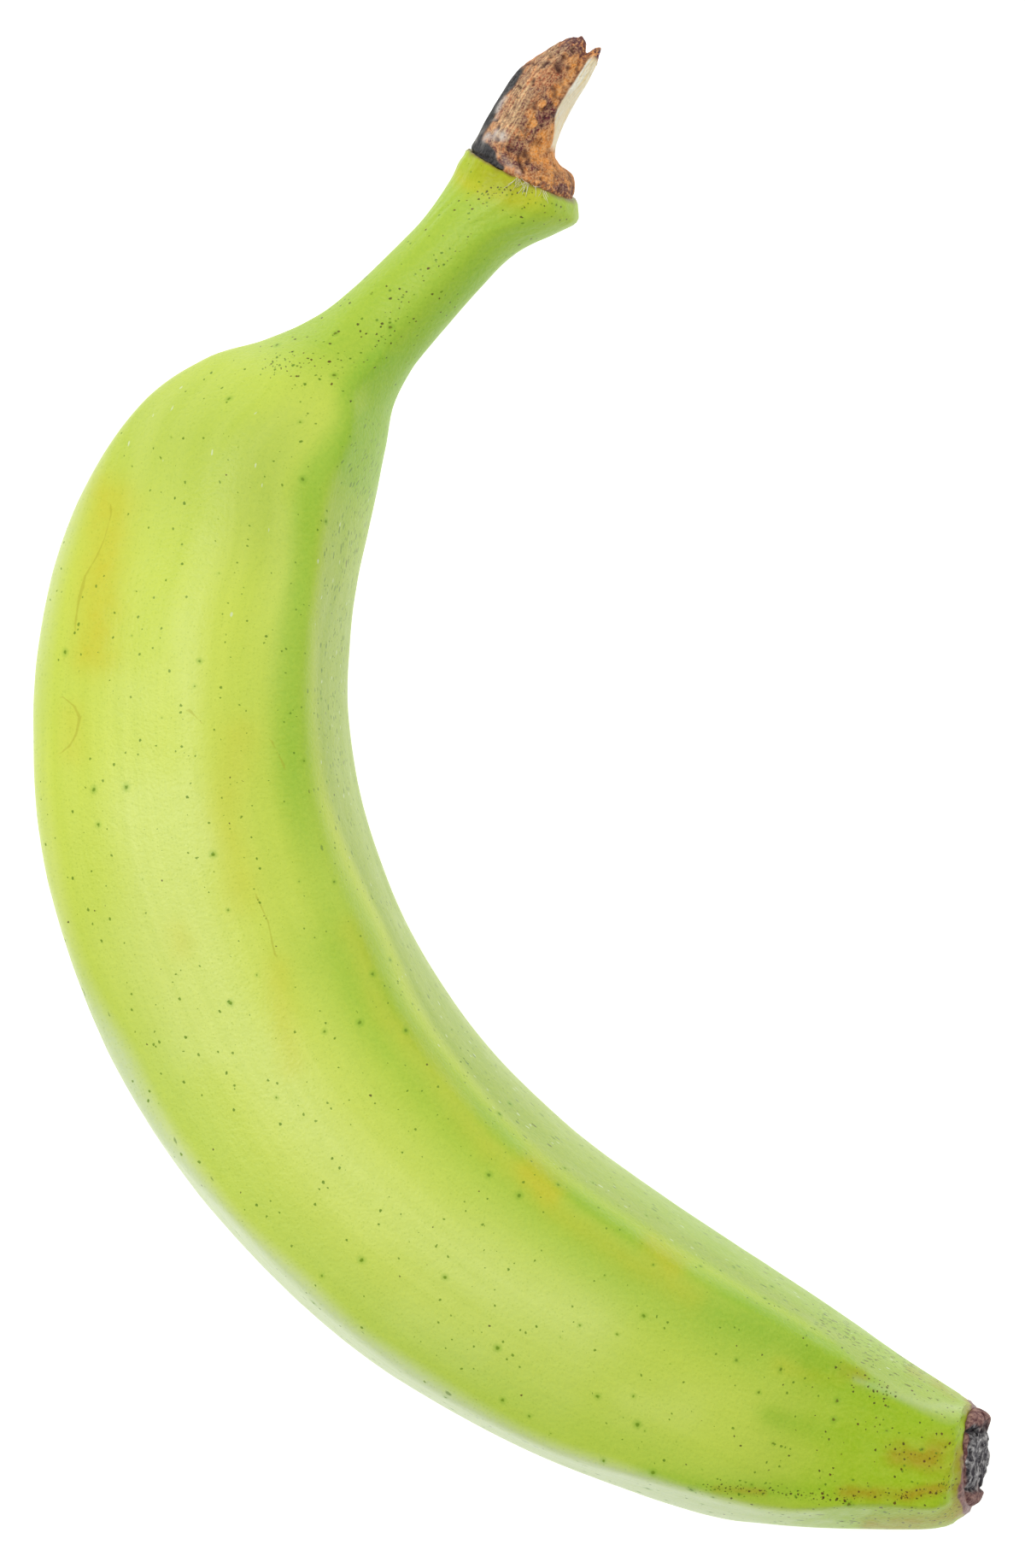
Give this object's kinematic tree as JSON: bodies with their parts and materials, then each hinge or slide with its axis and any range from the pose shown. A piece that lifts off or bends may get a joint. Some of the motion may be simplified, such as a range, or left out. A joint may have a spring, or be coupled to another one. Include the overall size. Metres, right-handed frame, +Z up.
{
  "type": "banana",
  "caption": "Green banana lying on its side: a curved fruit with long soft ridges, a stalk with a torn dry stub and a dark flower scar.",
  "frame": {"origin": "on the surface the fruit lies on, at the bottom centre of its bounding box", "axes": "+Z up from the surface; +Y runs from the flower scar's end to the stalk's end, along the longest extent; the hollow side of the curve faces +X and +Y"},
  "size_m": [0.1119, 0.175, 0.0355],
  "materials": {
    "peel": "smooth unripe peel, satin, yellow-green"
  },
  "bodies": {
    "root": {"banana": "peel"}
  },
  "joints": []
}
